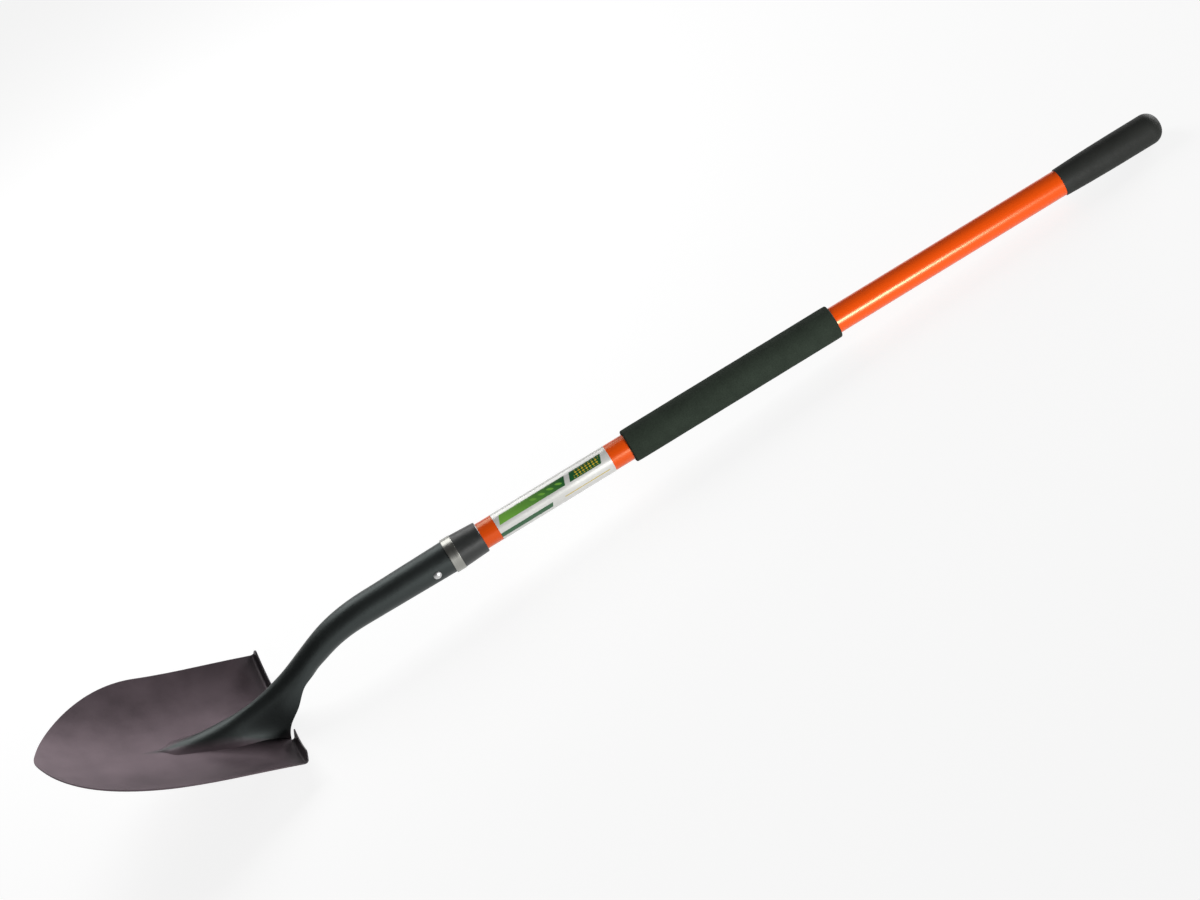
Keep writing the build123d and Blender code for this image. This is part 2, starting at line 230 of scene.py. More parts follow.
class Effects:
    """Node groups that more than one finish uses, each built once.

    Attributes:
        COARSE_SHARE: scale of the grain's coarse mask, as a share of the fine grain's.
        GRAIN_RANGE: part of the coarse noise that the grain's mask is drawn from.
        CLOUD_RANGE: part of the noise that the masks of mottle and streaks are drawn from.
    """

    COARSE_SHARE = 0.17
    GRAIN_RANGE = (0.35, 0.65)
    CLOUD_RANGE = (0.3, 0.7)

    def __init__(self) -> None:
        """Build every group."""
        self.handle_place = self._handle_place()
        self.grain = self._grain()
        self.mottle = self._mottle()
        self.streaks = self._streaks()

    @staticmethod
    def _group(
        name: str, inputs: dict[str, str], outputs: dict[str, str]
    ) -> tuple[Wiring, bpy.types.NodeOutputs, bpy.types.NodeInputs]:
        """Start a group.

        Args:
            name: the group's name.
            inputs: socket type by input name.
            outputs: socket type by output name.

        Returns:
            The group's wiring, the sockets that it is given and the sockets of its result.
        """
        tree = bpy.data.node_groups.new(name, "ShaderNodeTree")
        for direction, sockets in (("INPUT", inputs), ("OUTPUT", outputs)):
            for label, kind in sockets.items():
                tree.interface.new_socket(name=label, in_out=direction, socket_type="NodeSocket" + kind)
        start = tree.nodes.new("NodeGroupInput")
        end = tree.nodes.new("NodeGroupOutput")
        return Wiring(tree), start.outputs, end.inputs

    def _handle_place(self) -> bpy.types.NodeTree:
        """Make the group that gives each point's place on the handle.

        Returns:
            The group. It puts out the place along the handle, round it in turns, and as a vector.
        """
        outputs = {"Along": "Float", "Around": "Float", "Place": "Vector"}
        wiring, _, result = self._group("handle_place", {}, outputs)
        point = wiring.add("TexCoord").outputs["Object"]
        offset = wiring.add("VectorMath", {0: point, 1: LINE.middle}, operation="SUBTRACT").outputs["Vector"]
        along, side, rise = (
            wiring.add("VectorMath", {0: offset, 1: direction}, operation="DOT_PRODUCT").outputs["Value"]
            for direction in (LINE.axis, LINE.side, LINE.rise)
        )
        wiring.feed(result["Along"], along)
        wiring.feed(result["Around"], wiring.math("DIVIDE", wiring.math("ARCTAN2", side, rise), 2 * math.pi))
        wiring.feed(result["Place"], wiring.add("CombineXYZ", {0: along, 1: side, 2: rise}).outputs[0])
        return wiring.tree

    def _grain(self) -> bpy.types.NodeTree:
        """Make the group for the fine grain of paint, rubber, plastic and film.

        Returns:
            The group. It puts out the grain's height and a coarser mask.
        """
        inputs = {"Place": "Vector", "Size": "Float"}
        wiring, given, result = self._group("fine_grain", inputs, {"Height": "Float", "Mask": "Float"})
        place = given["Place"]
        scale = wiring.math("DIVIDE", 1.0, given["Size"])
        fine = wiring.add("TexNoise", {"Vector": place, "Scale": scale, "Detail": 3.0, "Roughness": 0.55})
        coarse_scale = wiring.math("MULTIPLY", scale, self.COARSE_SHARE)
        coarse = wiring.add("TexNoise", {"Vector": place, "Scale": coarse_scale, "Detail": 2.0})
        wiring.feed(result["Height"], fine.outputs[0])
        wiring.feed(result["Mask"], wiring.span(coarse.outputs[0], *self.GRAIN_RANGE))
        return wiring.tree

    def _mottle(self) -> bpy.types.NodeTree:
        """Make the group for slow changes of colour over a surface.

        Returns:
            The group. It puts out the mottled colour and its mask.
        """
        inputs = {"Place": "Vector", "Size": "Float", "First": "Color", "Second": "Color"}
        wiring, given, result = self._group("slow_mottle", inputs, {"Color": "Color", "Mask": "Float"})
        place = given["Place"]
        scale = wiring.math("DIVIDE", 1.0, given["Size"])
        cloud = wiring.add("TexNoise", {"Vector": place, "Scale": scale, "Detail": 5.0, "Roughness": 0.6})
        mask = wiring.span(cloud.outputs[0], *self.CLOUD_RANGE)
        wiring.feed(result["Mask"], mask)
        wiring.feed(result["Color"], wiring.blend(mask, given["First"], given["Second"]))
        return wiring.tree

    def _streaks(self) -> bpy.types.NodeTree:
        """Make the group for fine lines in one direction, such as fibres or brush marks.

        Returns:
            The group. It puts out the lines' height and their mask.
        """
        inputs = {"Place": "Vector", "Stretch": "Vector"}
        wiring, given, result = self._group("fine_streaks", inputs, {"Height": "Float", "Mask": "Float"})
        factors = {0: given["Place"], 1: given["Stretch"]}
        drawn = wiring.add("VectorMath", factors, operation="MULTIPLY").outputs[0]
        lines = wiring.add("TexNoise", {"Vector": drawn, "Scale": 1.0, "Detail": 4.0, "Roughness": 0.65})
        wiring.feed(result["Height"], lines.outputs[0])
        wiring.feed(result["Mask"], wiring.span(lines.outputs[0], *self.CLOUD_RANGE))
        return wiring.tree


EFFECTS = Effects()


# Finishes


@dataclass(frozen=True)
class Finish:
    """What every finish has.

    Attributes:
        slot: the record's slot, whose name the material takes.
        colour: main colour.
        roughness: middle of the surface's roughness.
        gloss: strength of its reflections, 0.5 for most plastics and paints.
        rough_range: how far the roughness goes below and above its middle.
        tones: shares of the main colour in its darkest and lightest parts.
        cloud: size of the slow changes of tone in metres.
    """

    slot: Slot
    colour: Colour
    roughness: float
    gloss: float = 0.5
    rough_range: Pair = (-0.05, 0.05)
    tones: Pair = (0.86, 1.14)
    cloud: float = 25 * MM

    def material(self) -> bpy.types.Material:
        """Make the material.

        Returns:
            A new material with its own principled shader.
        """
        material = bpy.data.materials.new(self.slot.value + "_finish")
        material.use_nodes = True
        wiring = Wiring(material.node_tree)
        shader = material.node_tree.nodes["Principled BSDF"]
        shader.inputs["Specular IOR Level"].default_value = self.gloss
        self.wire(wiring, shader)
        material.diffuse_color = (*self.colour, 1.0)
        return material

    def wire(self, wiring: Wiring, shader: bpy.types.Node) -> None:
        """Wire the finish into its shader.

        Args:
            wiring: the material's wiring.
            shader: the principled shader.
        """
        raise NotImplementedError

    def shaded(self, share: float) -> Colour:
        """The main colour times a share."""
        return tuple(part * share for part in self.colour)

    def toned(self, wiring: Wiring, mask: Socket) -> Socket:
        """Colour that goes from the darkest tone to the lightest with a mask.

        Args:
            wiring: the material's wiring.
            mask: share of the lightest tone.

        Returns:
            The colour.
        """
        dark, light = self.tones
        return wiring.blend(mask, self.shaded(dark), self.shaded(light))

    def clouds(self, wiring: Wiring, place: Socket) -> bpy.types.Node:
        """Place the slow mottle in the finish's tones.

        Args:
            wiring: the material's wiring.
            place: place on the surface.

        Returns:
            The mottle's node.
        """
        dark, light = self.tones
        tones = {"First": self.shaded(dark), "Second": self.shaded(light)}
        return wiring.effect(EFFECTS.mottle, {"Place": place, "Size": self.cloud, **tones})

    def roughen(self, wiring: Wiring, shader: bpy.types.Node, mask: Socket) -> None:
        """Let the roughness follow a mask.

        Args:
            wiring: the material's wiring.
            shader: the principled shader.
            mask: 0 where the surface is smoothest and 1 where it is roughest.
        """
        low, high = (self.roughness + change for change in self.rough_range)
        wiring.feed(shader.inputs["Roughness"], wiring.span(mask, 0.0, 1.0, low, high))

    @staticmethod
    def bump(wiring: Wiring, shader: bpy.types.Node, height: Value, depth: float, edge: float = 0.0) -> None:
        """Give the shader a bump, and round its sharp edges.

        Args:
            wiring: the material's wiring.
            shader: the principled shader.
            height: height of the surface, from 0 to 1.
            depth: depth of the bump in metres.
            edge: radius of the rounded edges in metres, or 0 for none.
        """
        node = wiring.add("Bump", {"Height": height, "Distance": depth})
        if edge:
            wiring.feed(node.inputs["Normal"], wiring.add("Bevel", {"Radius": edge}, samples=4).outputs[0])
        wiring.feed(shader.inputs["Normal"], node.outputs[0])


@dataclass(frozen=True)
class FlakePaint(Finish):
    """Baked satin paint with a fine metal flake, on pressed steel.

    Attributes:
        socket: colour of the paint on the socket, also laid over the frog as painted shade.
        frog_shade_tip: where the frog's painted shade starts, along the shovel.
        frog_shade_width: half the width of the frog's painted shade at the heel.
        fade: half the width over which the blade's colour gives way to the frog's painted shade.
        heel: where the blade ends, along the shovel.
        socket_start: where the socket's colour has taken over all round.
        flake: how much the paint reflects as metal.
        peel: size of the orange peel in metres.
        peel_depth: depth of the orange peel in metres.
        edge: radius of the sheet's edges in metres.
    """

    rough_range: Pair = (-0.04, 0.04)
    cloud: float = 45 * MM
    socket: Colour = (0.049, 0.057, 0.056)
    frog_shade_tip: float = -642 * MM
    frog_shade_width: float = 27 * MM
    fade: float = 4 * MM
    heel: float = -505 * MM
    socket_start: float = -460 * MM
    flake: float = 0.85
    peel: float = 1.6 * MM
    peel_depth: float = 0.02 * MM
    edge: float = 0.5 * MM

    def wire(self, wiring: Wiring, shader: bpy.types.Node) -> None:
        """Wire mottled paint with a fine orange peel, darker on the socket than on the blade, with painted
        shade over the frog and the blade's lighter mauve tone partly a painted pink sheen.

        Args:
            wiring: the material's wiring.
            shader: the principled shader.
        """
        place = wiring.add("TexCoord").outputs["Object"]
        mottle = self.clouds(wiring, place)
        # Painted shade: the frog takes the socket's darker colour, and the lighter blade tone is partly a
        # painted sheen.
        share = self.frog_shade_and_socket_share(wiring, place)
        wiring.feed(shader.inputs["Base Color"], wiring.blend(share, mottle.outputs["Color"], self.socket))
        self.roughen(wiring, shader, mottle.outputs["Mask"])
        shader.inputs["Metallic"].default_value = self.flake
        grain = wiring.effect(EFFECTS.grain, {"Place": place, "Size": self.peel})
        self.bump(wiring, shader, grain.outputs["Height"], self.peel_depth, self.edge)

    def frog_shade_and_socket_share(self, wiring: Wiring, place: Socket) -> Socket:
        """Mask of the frog's painted shade, which widens towards the heel, and of all that lies past the heel.

        Args:
            wiring: the material's wiring.
            place: place on the shovel.

        Returns:
            A mask that is 1 on the frog, where it is painted shade, and on the socket.
        """
        parts = wiring.add("SeparateXYZ", {0: place}).outputs
        # The frog's mask is painted shade, widening towards the heel.
        half_width = wiring.span(parts["X"], self.frog_shade_tip, self.heel, -self.fade, self.frog_shade_width)
        outside = wiring.math("SUBTRACT", wiring.math("ABSOLUTE", parts["Y"]), half_width)
        frog = wiring.span(outside, -self.fade, self.fade, 1.0, 0.0)
        return wiring.math("MAXIMUM", frog, wiring.span(parts["X"], self.heel, self.socket_start))


@dataclass(frozen=True)
class GlossResin(Finish):
    """Gloss resin over glass fibres that run along the handle.

    Attributes:
        fibre: how the fibres are drawn out, along, across and up.
        fibre_depth: depth of the fibre lines in metres.
        gleam: tint of the resin's reflections.
    """

    rough_range: Pair = (-0.01, 0.01)
    tones: Pair = (0.94, 1.04)
    fibre: Triple = (14.0, 900.0, 900.0)
    fibre_depth: float = 0.0004 * MM
    gleam: Colour = (1.0, 0.78, 0.48)

    def wire(self, wiring: Wiring, shader: bpy.types.Node) -> None:
        """Wire an even colour with faint fibre lines in it.

        Args:
            wiring: the material's wiring.
            shader: the principled shader.
        """
        place = wiring.effect(EFFECTS.handle_place).outputs["Place"]
        fibres = wiring.effect(EFFECTS.streaks, {"Place": place, "Stretch": self.fibre})
        wiring.feed(shader.inputs["Base Color"], self.toned(wiring, fibres.outputs["Mask"]))
        self.roughen(wiring, shader, fibres.outputs["Mask"])
        shader.inputs["Specular Tint"].default_value = (*self.gleam, 1.0)
        self.bump(wiring, shader, fibres.outputs["Height"], self.fibre_depth)


@dataclass(frozen=True)
class MouldedSkin(Finish):
    """Skin of a moulded rubber or plastic piece.

    Attributes:
        grain: size of the grain in metres.
        grain_depth: depth of the grain in metres.
    """

    grain: float = 0.8 * MM
    grain_depth: float = 0.04 * MM

    def wire(self, wiring: Wiring, shader: bpy.types.Node) -> None:
        """Wire a dark skin with a fine grain and a slow change of tone.

        Args:
            wiring: the material's wiring.
            shader: the principled shader.
        """
        place = wiring.add("TexCoord").outputs["Object"]
        grain = wiring.effect(EFFECTS.grain, {"Place": place, "Size": self.grain})
        wiring.feed(shader.inputs["Base Color"], self.clouds(wiring, place).outputs["Color"])
        self.roughen(wiring, shader, grain.outputs["Mask"])
        self.bump(wiring, shader, grain.outputs["Height"], self.grain_depth)


@dataclass(frozen=True)
class CellFoam(Finish):
    """Closed-cell foam.

    Attributes:
        cell: size of a cell in metres.
        cell_depth: depth of a cell in metres.
        pit: where a pit's floor ends and where its wall ends, from its middle, as shares of a cell.
        pit_shade: how strongly the pits are darkened as painted shade.
        pit_shade_tone: share of the main colour at the bottom of a pit, as painted shade.
        sheen: weight of the soft sheen.
    """

    tones: Pair = (0.85, 1.15)
    cloud: float = 18 * MM
    cell: float = 0.9 * MM
    cell_depth: float = 0.18 * MM
    pit: Pair = (0.1, 0.6)
    pit_shade: float = 0.45
    pit_shade_tone: float = 0.4
    sheen: float = 0.02

    def wire(self, wiring: Wiring, shader: bpy.types.Node) -> None:
        """Wire small pits with painted shade in their bottoms, in a dull skin.

        Args:
            wiring: the material's wiring.
            shader: the principled shader.
        """
        place = wiring.effect(EFFECTS.handle_place).outputs["Place"]
        cells = wiring.add("TexVoronoi", {"Vector": place, "Scale": 1.0 / self.cell, "Randomness": 1.0})
        # The pits' bottoms are darkened as painted shade.
        pit = wiring.span(cells.outputs["Distance"], *self.pit, 1.0, 0.0)
        shade = wiring.math("MULTIPLY", pit, self.pit_shade)
        skin = self.clouds(wiring, place).outputs["Color"]
        wiring.feed(shader.inputs["Base Color"], wiring.blend(shade, skin, self.shaded(self.pit_shade_tone)))
        shader.inputs["Roughness"].default_value = self.roughness
        shader.inputs["Sheen Weight"].default_value = self.sheen
        self.bump(wiring, shader, wiring.math("SUBTRACT", 1.0, pit), self.cell_depth)


@dataclass(frozen=True)
class BrightMetal(Finish):
    """Bare or plated steel with fine marks.

    Attributes:
        drawn: how the marks are drawn out, along, across and up.
        mark_depth: depth of the marks in metres.
    """

    rough_range: Pair = (-0.05, 0.08)
    tones: Pair = (0.92, 1.05)
    drawn: Triple = (1500.0, 30.0, 30.0)
    mark_depth: float = 0.01 * MM

    def wire(self, wiring: Wiring, shader: bpy.types.Node) -> None:
        """Wire metal whose roughness and height follow its marks.

        Args:
            wiring: the material's wiring.
            shader: the principled shader.
        """
        place = wiring.effect(EFFECTS.handle_place).outputs["Place"]
        marks = wiring.effect(EFFECTS.streaks, {"Place": place, "Stretch": self.drawn})
        wiring.feed(shader.inputs["Base Color"], self.toned(wiring, marks.outputs["Mask"]))
        shader.inputs["Metallic"].default_value = 1.0
        self.roughen(wiring, shader, marks.outputs["Mask"])
        self.bump(wiring, shader, marks.outputs["Height"], self.mark_depth)


@dataclass(frozen=True)
class BareWood(Finish):
    """Bare hardwood with its grain along the handle.

    Attributes:
        dark: colour of the grain lines.
        grain: how the grain is drawn out, along, across and up.
        grain_depth: depth of the grain in metres.
    """

    dark: Colour = (0.28, 0.16, 0.08)
    grain: Triple = (9.0, 260.0, 420.0)
    grain_depth: float = 0.05 * MM

    def wire(self, wiring: Wiring, shader: bpy.types.Node) -> None:
        """Wire wood lines in two tones.

        Args:
            wiring: the material's wiring.
            shader: the principled shader.
        """
        place = wiring.effect(EFFECTS.handle_place).outputs["Place"]
        lines = wiring.effect(EFFECTS.streaks, {"Place": place, "Stretch": self.grain})
        wiring.feed(shader.inputs["Base Color"], wiring.blend(lines.outputs["Mask"], self.dark, self.colour))
        shader.inputs["Roughness"].default_value = self.roughness
        self.bump(wiring, shader, lines.outputs["Height"], self.grain_depth)


@dataclass(frozen=True)
class Patch:
    """A printed patch of the label, slanted at its two ends.

    Attributes:
        start: where it starts, as a share of the label's length.
        end: where it ends.
        low: where it starts round the handle, in turns from the top towards the near side.
        high: where it ends round the handle.
        slant: how far its ends lean, as a share of the label's length per turn.
        soft: width of its soft edges, in the same shares and turns.
    """

    start: float
    end: float
    low: float
    high: float
    slant: float = 0.0
    soft: float = 0.004

    def mask(self, wiring: Wiring, along: Socket, around: Socket) -> Socket:
        """Mask of the patch.

        Args:
            wiring: the material's wiring.
            along: place along the label, from 0 to 1.
            around: place round the handle, in turns from the top towards the near side.

        Returns:
            A mask that is 1 inside the patch.
        """
        leaning = wiring.math("ADD", along, wiring.math("MULTIPLY", around, self.slant))
        result = 1.0
        for place, first, last in ((leaning, self.start, self.end), (around, self.low, self.high)):
            result = wiring.math("MULTIPLY", result, wiring.span(place, first, first + self.soft))
            result = wiring.math("MULTIPLY", result, wiring.span(place, last - self.soft, last, 1.0, 0.0))
        return result


@dataclass(frozen=True)
class LeafRow:
    """A row of printed leaves that lean round the handle.

    Attributes:
        bed: the patch that the row fills.
        count: number of leaves.
        middle: middle of the row, in turns.
        lean: how far a leaf leans from end to end, in turns.
        half_width: half the width of a leaf at its middle, as a share of its lean.
        taper: how fast a leaf narrows towards its ends.
        soft: width of a leaf's soft edge, as a share of its lean.
    """

    bed: Patch = Patch(start=0.3, end=0.6, low=0.03, high=0.145)
    count: int = 4
    middle: float = 0.088
    lean: float = 0.04
    half_width: float = 0.42
    taper: float = 2.6
    soft: float = 0.06

    def mask(self, wiring: Wiring, along: Socket, around: Socket) -> Socket:
        """Mask of the leaves.

        Args:
            wiring: the material's wiring.
            along: place along the label, from 0 to 1.
            around: place round the handle, in turns from the top towards the near side.

        Returns:
            A mask that is 1 on the leaves.
        """
        row = wiring.span(along, self.bed.start, self.bed.end, 0.0, float(self.count))
        step = wiring.math("SUBTRACT", wiring.math("FRACT", row), 0.5)
        height = wiring.math("DIVIDE", wiring.math("SUBTRACT", around, self.middle), self.lean)
        offset = wiring.math("ABSOLUTE", wiring.math("SUBTRACT", height, step))
        narrowing = wiring.math("MULTIPLY", wiring.math("POWER", step, 2.0), self.taper)
        inside = wiring.math("SUBTRACT", wiring.math("SUBTRACT", self.half_width, narrowing), offset)
        leaves = wiring.span(inside, 0.0, self.soft)
        return wiring.math("MULTIPLY", leaves, self.bed.mask(wiring, along, around))


@dataclass(frozen=True)
class DotField:
    """Rows of printed dots.

    Attributes:
        bed: the patch that the dots fill.
        rows: number of dots to the label's length, and to a turn.
        radius: radius of a dot, as a share of the distance between dots.
        soft: width of a dot's soft edge, as a share of the same distance.
    """

    bed: Patch = Patch(start=0.72, end=0.94, low=0.045, high=0.132, slant=0.25)
    rows: float = 34.0
    radius: float = 0.3
    soft: float = 0.06

    def mask(self, wiring: Wiring, along: Socket, around: Socket) -> Socket:
        """Mask of the dots.

        Args:
            wiring: the material's wiring.
            along: place along the label, from 0 to 1.
            around: place round the handle, in turns from the top towards the near side.

        Returns:
            A mask that is 1 on the dots.
        """
        squares = []
        for place in (along, around):
            step = wiring.math("FRACT", wiring.math("MULTIPLY", place, self.rows))
            squares.append(wiring.math("POWER", wiring.math("SUBTRACT", step, 0.5), 2.0))
        distance = wiring.math("SQRT", wiring.math("ADD", *squares))
        dots = wiring.span(distance, self.radius, self.radius + self.soft, 1.0, 0.0)
        return wiring.math("MULTIPLY", dots, self.bed.mask(wiring, along, around))


@dataclass(frozen=True)
class PrintedFilm(Finish):
    """Clear-coated film label with a plain printed design: panels, leaves, dots and rules.

    Attributes:
        start: where the label starts, along the handle from the foam grip's middle.
        length: its length.
        deep: deep green of the panels.
        bright: bright green of the panels and leaves.
        straw: straw yellow of the dots.
        fade: where the near panel starts to turn deep and where it has, as shares of the label's length.
        coat: weight of the clear coat.
        coat_roughness: roughness of the clear coat.
        silver: how much the bare film shines like metal.
        ripple: size of the film's ripples in metres.
        ripple_depth: depth of the ripples in metres.
    """

    tones: Pair = (0.9, 1.04)
    cloud: float = 30 * MM
    start: float = -314.9 * MM
    length: float = 151.0 * MM
    deep: Colour = (0.008, 0.085, 0.022)
    bright: Colour = (0.16, 0.40, 0.05)
    straw: Colour = (0.55, 0.40, 0.03)
    fade: Pair = (0.1, 0.62)
    coat: float = 0.5
    coat_roughness: float = 0.1
    silver: float = 0.2
    ripple: float = 9 * MM
    ripple_depth: float = 0.12 * MM

    def wire(self, wiring: Wiring, shader: bpy.types.Node) -> None:
        """Wire the film and print the design on it.

        Args:
            wiring: the material's wiring.
            shader: the principled shader.
        """
        handle = wiring.effect(EFFECTS.handle_place).outputs
        along = wiring.span(handle["Along"], self.start, self.start + self.length)
        around = wiring.math("MULTIPLY", handle["Around"], -1.0)
        colour = self.clouds(wiring, handle["Place"]).outputs["Color"]
        bare = 1.0
        for shape, ink in self.layout(wiring, along):
            mask = shape.mask(wiring, along, around)
            colour = wiring.blend(mask, colour, ink)
            bare = wiring.math("MULTIPLY", bare, wiring.math("SUBTRACT", 1.0, mask))
        wiring.feed(shader.inputs["Base Color"], colour)
        wiring.feed(shader.inputs["Metallic"], wiring.math("MULTIPLY", bare, self.silver))
        shader.inputs["Roughness"].default_value = self.roughness
        shader.inputs["Coat Weight"].default_value = self.coat
        shader.inputs["Coat Roughness"].default_value = self.coat_roughness
        ripples = wiring.effect(EFFECTS.grain, {"Place": handle["Place"], "Size": self.ripple})
        self.bump(wiring, shader, ripples.outputs["Height"], self.ripple_depth)

    def layout(self, wiring: Wiring, along: Socket) -> list[tuple[Patch | LeafRow | DotField, Value]]:
        """The printed shapes and their inks, from the lowest layer up.

        Args:
            wiring: the material's wiring.
            along: place along the label.

        Returns:
            Each shape with its ink.
        """
        turning = wiring.blend(wiring.span(along, *self.fade), self.bright, self.deep)
        return [
            (Patch(start=0.06, end=0.64, low=0.03, high=0.145, slant=0.25), turning),
            (Patch(start=0.68, end=0.96, low=0.03, high=0.145, slant=0.25), self.deep),
            (Patch(start=0.05, end=0.52, low=0.235, high=0.30, slant=0.25), self.deep),
            (Patch(start=0.56, end=0.96, low=0.255, high=0.27), self.straw),
            (Patch(start=0.08, end=0.9, low=-0.32, high=-0.10, slant=0.12), self.deep),
            (Patch(start=0.12, end=0.86, low=-0.24, high=-0.18, slant=0.12), self.colour),
            (LeafRow(), self.bright),
            (DotField(), self.straw),
        ]


FINISHES = {
    finish.slot: finish
    for finish in (
        # The blade's light mauve colour is partly a painted pink sheen and partly the flake paint's
        # reflectance.
        FlakePaint(Slot.HEAD, colour=(0.129, 0.098, 0.112), roughness=0.46),
        BrightMetal(Slot.BAND, colour=(0.33, 0.33, 0.305), roughness=0.31, mark_depth=0.004 * MM),
        MouldedSkin(Slot.COLLAR, colour=(0.024, 0.026, 0.025), roughness=0.4),
        BrightMetal(Slot.RIVET, colour=(0.58, 0.58, 0.58), roughness=0.42, drawn=(420.0, 420.0, 420.0)),
        GlossResin(Slot.HANDLE, colour=(0.78, 0.077, 0.0022), roughness=0.25, gloss=0.7),
        BareWood(Slot.CORE, colour=(0.5, 0.34, 0.19), roughness=0.7),
        PrintedFilm(Slot.LABEL, colour=(0.69, 0.69, 0.66), roughness=0.3),
        CellFoam(Slot.FOAM, colour=(0.026, 0.0355, 0.026), roughness=0.9, gloss=0.1),
        MouldedSkin(Slot.RUBBER, colour=(0.022, 0.0235, 0.0215), roughness=0.62, gloss=0.16),
    )
}


# Pieces


def turned_piece(name: str, profile: list[Pair], segments: int, closed: bool) -> bpy.types.Object:
    """Make a piece turned round the handle's line.

    Args:
        name: the piece's name.
        profile: points as (distance along the handle, radius); a point on the axis becomes a pole.
        segments: number of steps round the handle.
        closed: whether the last point joins the first.

    Returns:
        The new object, linked to the scene.
    """
    mesh = bpy.data.meshes.new(name)
    model = bmesh.new()
    rings = []
    for along, radius in profile:
        count = segments if radius > 0 else 1
        turns = [2 * math.pi * step / count for step in range(count)]
        rings.append([model.verts.new((along, radius * math.sin(t), radius * math.cos(t))) for t in turns])
    pairs = list(zip(rings, rings[1:]))
    if closed:
        pairs.append((rings[-1], rings[0]))
    for first, second in pairs:
        for step in range(segments):
            corners = [first[step % len(first)], first[(step + 1) % len(first)]]
            corners += [second[(step + 1) % len(second)], second[step % len(second)]]
            model.faces.new(list(dict.fromkeys(corners)))
    bmesh.ops.recalc_face_normals(model, faces=model.faces)
    model.to_mesh(mesh)
    model.free()
    piece = bpy.data.objects.new(name, mesh)
    bpy.context.scene.collection.objects.link(piece)
    return piece


def arc(middle: Pair, radius: float, start: float, end: float, steps: int) -> list[Pair]:
    """Points of an arc in the (along, radius) plane.

    Args:
        middle: its centre.
        radius: its radius.
        start: angle of its first point in degrees, 0 along the handle and 90 outwards.
        end: angle of its last point.
        steps: number of steps.

    Returns:
        The points.
    """
    angles = [math.radians(start + (end - start) * step / steps) for step in range(steps + 1)]
    return [(middle[0] + radius * math.cos(a), middle[1] + radius * math.sin(a)) for a in angles]


def settle(piece: bpy.types.Object, sharp_angle: float) -> None:
    """Put a turned piece on the handle's line and shade it smoothly.

    Args:
        piece: the piece, in (along, side, rise).
        sharp_angle: edges sharper than this many degrees stay sharp.
    """
    piece.data.transform(LINE.matrix())
    piece.data.shade_smooth()
    piece.data.set_sharp_from_angle(angle=math.radians(sharp_angle))


def dress(piece: bpy.types.Object, slot: Slot) -> None:
    """Give a piece its finish.

    Args:
        piece: a CAD node or a new piece.
        slot: the record's slot.
    """
    piece.data.materials.clear()
    piece.data.materials.append(FINISHES[slot].material())
    LOG.info("dressed %s with %s", piece.name, slot.value)


@dataclass
class FoamGrip:
    """Foam sleeve round the middle of the handle.

    Attributes:
        length: length of the sleeve.
        bore: radius of its bore.
        radius: outer radius.
        rounding: radius of its soft ends.
        ripple: height of the uneven skin.
        slow_size: size of the skin's long swells.
        quick_size: size of its short swells.
        slow_share: share of the long swells in the height.
        pinch: how much the ends draw in towards the tube.
        pinch_reach: distance from an end over which it draws in.
        steps: number of steps along the sleeve.
        end_steps: number of steps round each soft end.
        segments: number of steps round the handle.
        sharp_angle: edges sharper than this many degrees stay sharp.
    """

    length: float = 277.4 * MM
    bore: float = 16.05 * MM
    radius: float = 20.6 * MM
    rounding: float = 1.8 * MM
    ripple: float = 0.16 * MM
    slow_size: float = 22 * MM
    quick_size: float = 5 * MM
    slow_share: float = 0.7
    pinch: float = 0.25 * MM
    pinch_reach: float = 12 * MM
    steps: int = 150
    end_steps: int = 8
    segments: int = 128
    sharp_angle: float = 60.0

    def profile(self) -> list[Pair]:
        """Section of the sleeve, from its bore round its outside.

        Returns:
            Points as (along, radius).
        """
        half = self.length / 2
        flat = half - self.rounding
        outer = self.radius - self.rounding
        low = arc((-flat, outer), self.rounding, 180, 90, self.end_steps)
        wall = [(-flat + 2 * flat * step / self.steps, self.radius) for step in range(1, self.steps)]
        high = arc((flat, outer), self.rounding, 90, 0, self.end_steps)
        return [(-half, self.bore), *low, *wall, *high, (half, self.bore)]

    def build(self) -> bpy.types.Object:
        """Make the sleeve with an uneven skin.

        Returns:
            The piece, riding on the shovel in place of its plain solid.
        """
        piece = turned_piece("foam_sleeve", self.profile(), self.segments, closed=True)
        half = self.length / 2
        for vertex in piece.data.vertices:
            outward = Vector((0.0, vertex.co.y, vertex.co.z))
            if outward.length < self.radius - self.rounding:
                continue
            near_end = max(0.0, 1.0 - (half - abs(vertex.co.x)) / self.pinch_reach)
            slow = self.slow_share * noise.noise(vertex.co / self.slow_size)
            quick = (1.0 - self.slow_share) * noise.noise(vertex.co / self.quick_size)
            move = self.ripple * (slow + quick - 1.0) - self.pinch * near_end**2
            vertex.co += outward.normalized() * move
        settle(piece, self.sharp_angle)
        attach(piece, BODY)
        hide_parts("foam_grip")
        dress(piece, Slot.FOAM)
        return piece


